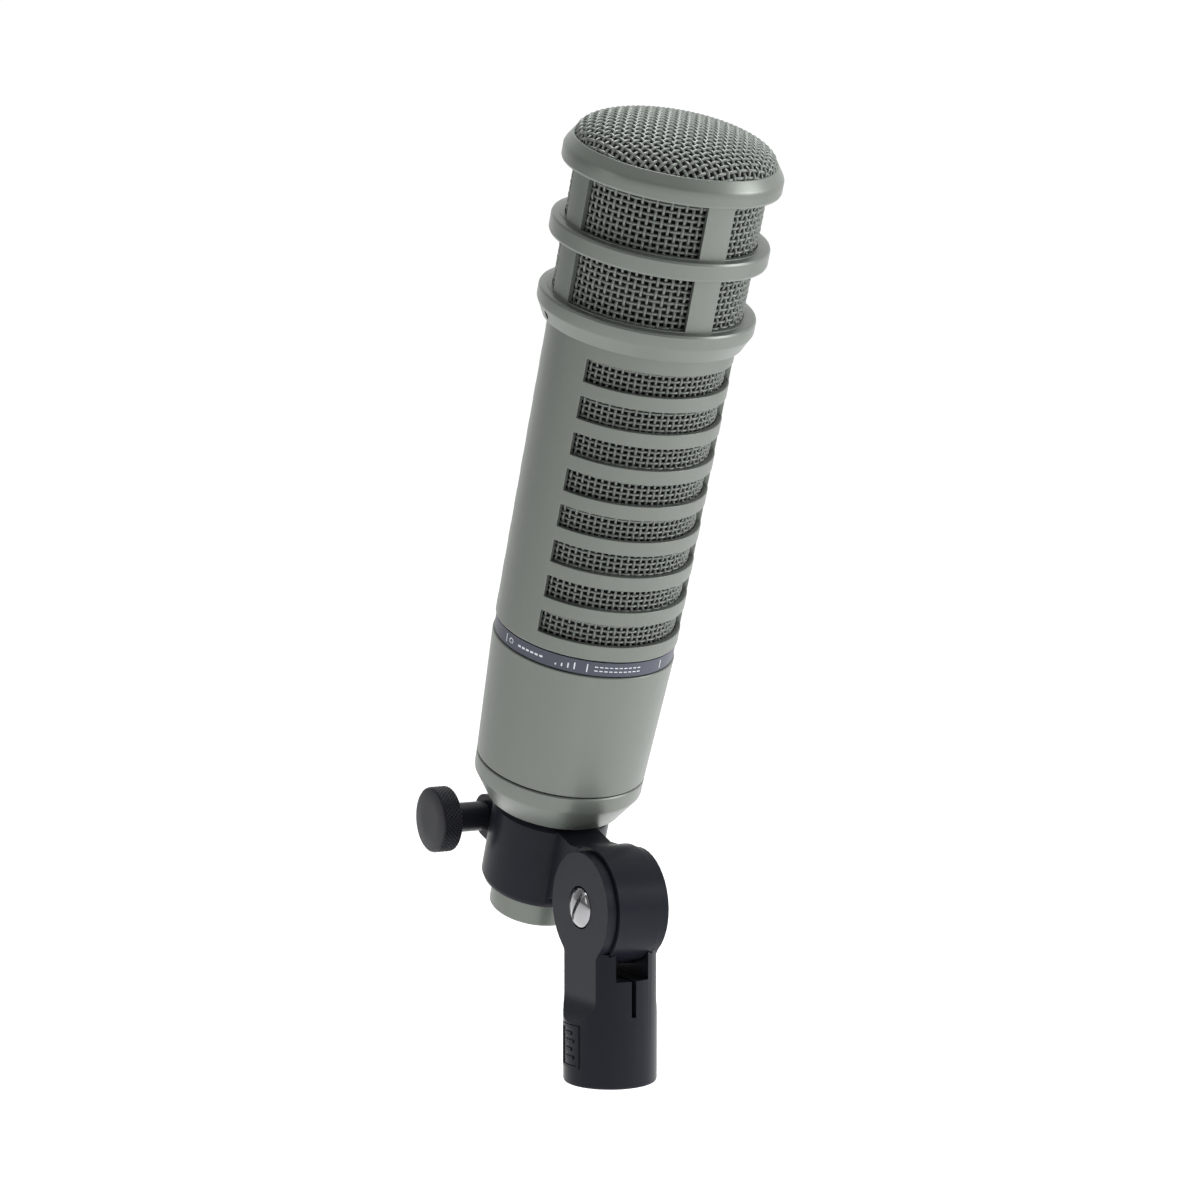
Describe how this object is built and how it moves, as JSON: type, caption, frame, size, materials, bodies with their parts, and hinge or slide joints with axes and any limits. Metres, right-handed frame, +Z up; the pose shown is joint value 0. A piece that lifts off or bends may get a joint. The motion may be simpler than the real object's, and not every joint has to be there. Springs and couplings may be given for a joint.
{
  "type": "broadcast microphone with swivel stand clamp",
  "caption": "Large moving-coil broadcast microphone with slotted body and woven grille, held by its tail in a tilting split-ring stand clamp with thumb screw.",
  "frame": {"origin": "middle of the stand adapter's bottom rim", "axes": "+Z up the stand adapter, X along the swivel pivot with the slotted screw head at -X, the microphone leaning towards -Y"},
  "size_m": [0.0544, 0.1152, 0.2458],
  "materials": {
    "fawn_paint": "satin fawn-grey paint",
    "mesh_steel": "painted woven wire",
    "slate_paint": "matt slate-blue band",
    "black_plastic": "satin moulded black",
    "chrome": "bright plated",
    "steel": "machined",
    "brass": "machined",
    "gold": "gold-plated contacts",
    "copper": "enamelled copper wire",
    "magnet": "sintered",
    "foam": "open-cell foam",
    "rubber": "matt",
    "film": "thin polyester film",
    "board": "epoxy circuit board",
    "lead_red": "red insulation",
    "lead_black": "black insulation"
  },
  "bodies": {
    "stand_adapter": {"stand_adapter": "black_plastic", "thread_insert": "brass", "pivot_nut": "steel"},
    "pivot_screw": {"pivot_screw": "chrome"},
    "swivel_clamp": {"clamp_body": "black_plastic", "clamp_nut": "steel", "friction_washer_left": "rubber", "friction_washer_right": "rubber"},
    "thumb_screw": {"thumb_screw_knob": "black_plastic", "thumb_screw_shank": "steel"},
    "microphone": {"grille_dome": "mesh_steel", "head_cage": "fawn_paint", "head_mesh": "mesh_steel", "head_foam": "foam", "head_screw_1": "steel", "head_screw_2": "steel", "resonator_plate": "steel", "diaphragm_ring": "brass", "pole_piece": "steel", "magnet": "magnet", "magnet_yoke": "steel", "capsule_housing": "black_plastic", "hum_coil": "copper", "acoustic_tube": "black_plastic", "front_shock_mount": "rubber", "rear_shock_mount": "rubber", "slot_foam": "foam", "slot_mesh": "mesh_steel", "body_tube": "fawn_paint", "label_band": "slate_paint", "rear_housing": "fawn_paint", "rear_cap": "fawn_paint", "tail_tube": "fawn_paint", "connector_insert": "black_plastic", "connector_pin_1": "gold", "connector_pin_2": "gold", "connector_pin_3": "gold", "bass_switch_plate": "black_plastic", "bass_switch_body": "black_plastic", "transformer_core": "steel", "transformer_winding": "copper", "filter_board": "board", "filter_choke": "magnet", "filter_capacitor": "lead_red", "capsule_lead_1": "lead_red", "capsule_lead_2": "lead_black", "output_lead_1": "lead_black", "output_lead_2": "lead_red", "output_lead_3": "film"},
    "moving_coil": {"diaphragm": "film", "voice_coil": "copper"},
    "bass_switch": {"bass_switch_slider": "black_plastic"}
  },
  "joints": [
    {"name": "swivel_tilt", "type": "hinge", "parent": "stand_adapter", "child": "swivel_clamp", "pos_m": [0, 0, 0.0454], "axis": [1, 0, 0], "range_deg": [-35, 100]},
    {"name": "pivot_screw_turn", "type": "hinge", "parent": "stand_adapter", "child": "pivot_screw", "pos_m": [0, 0, 0.0454], "axis": [1, 0, 0], "continuous": true},
    {"name": "thumb_screw_turn", "type": "hinge", "parent": "swivel_clamp", "child": "thumb_screw", "pos_m": [0, 0.05071, 0.06236], "axis": [1, 0, 0], "continuous": true},
    {"name": "microphone_turn", "type": "hinge", "parent": "swivel_clamp", "child": "microphone", "pos_m": [0, 0.03998, 0.0392], "axis": [0, -0.342, 0.9397], "continuous": true},
    {"name": "coil_travel", "type": "slide", "parent": "microphone", "child": "moving_coil", "axis": [0, -0.342, 0.9397], "range_m": [-0.0003, 0.0003], "stiffness_N_per_m": 1500},
    {"name": "bass_switch_slide", "type": "slide", "parent": "microphone", "child": "bass_switch", "axis": [0, -0.342, 0.9397], "range_m": [0, 0.003]}
  ]
}
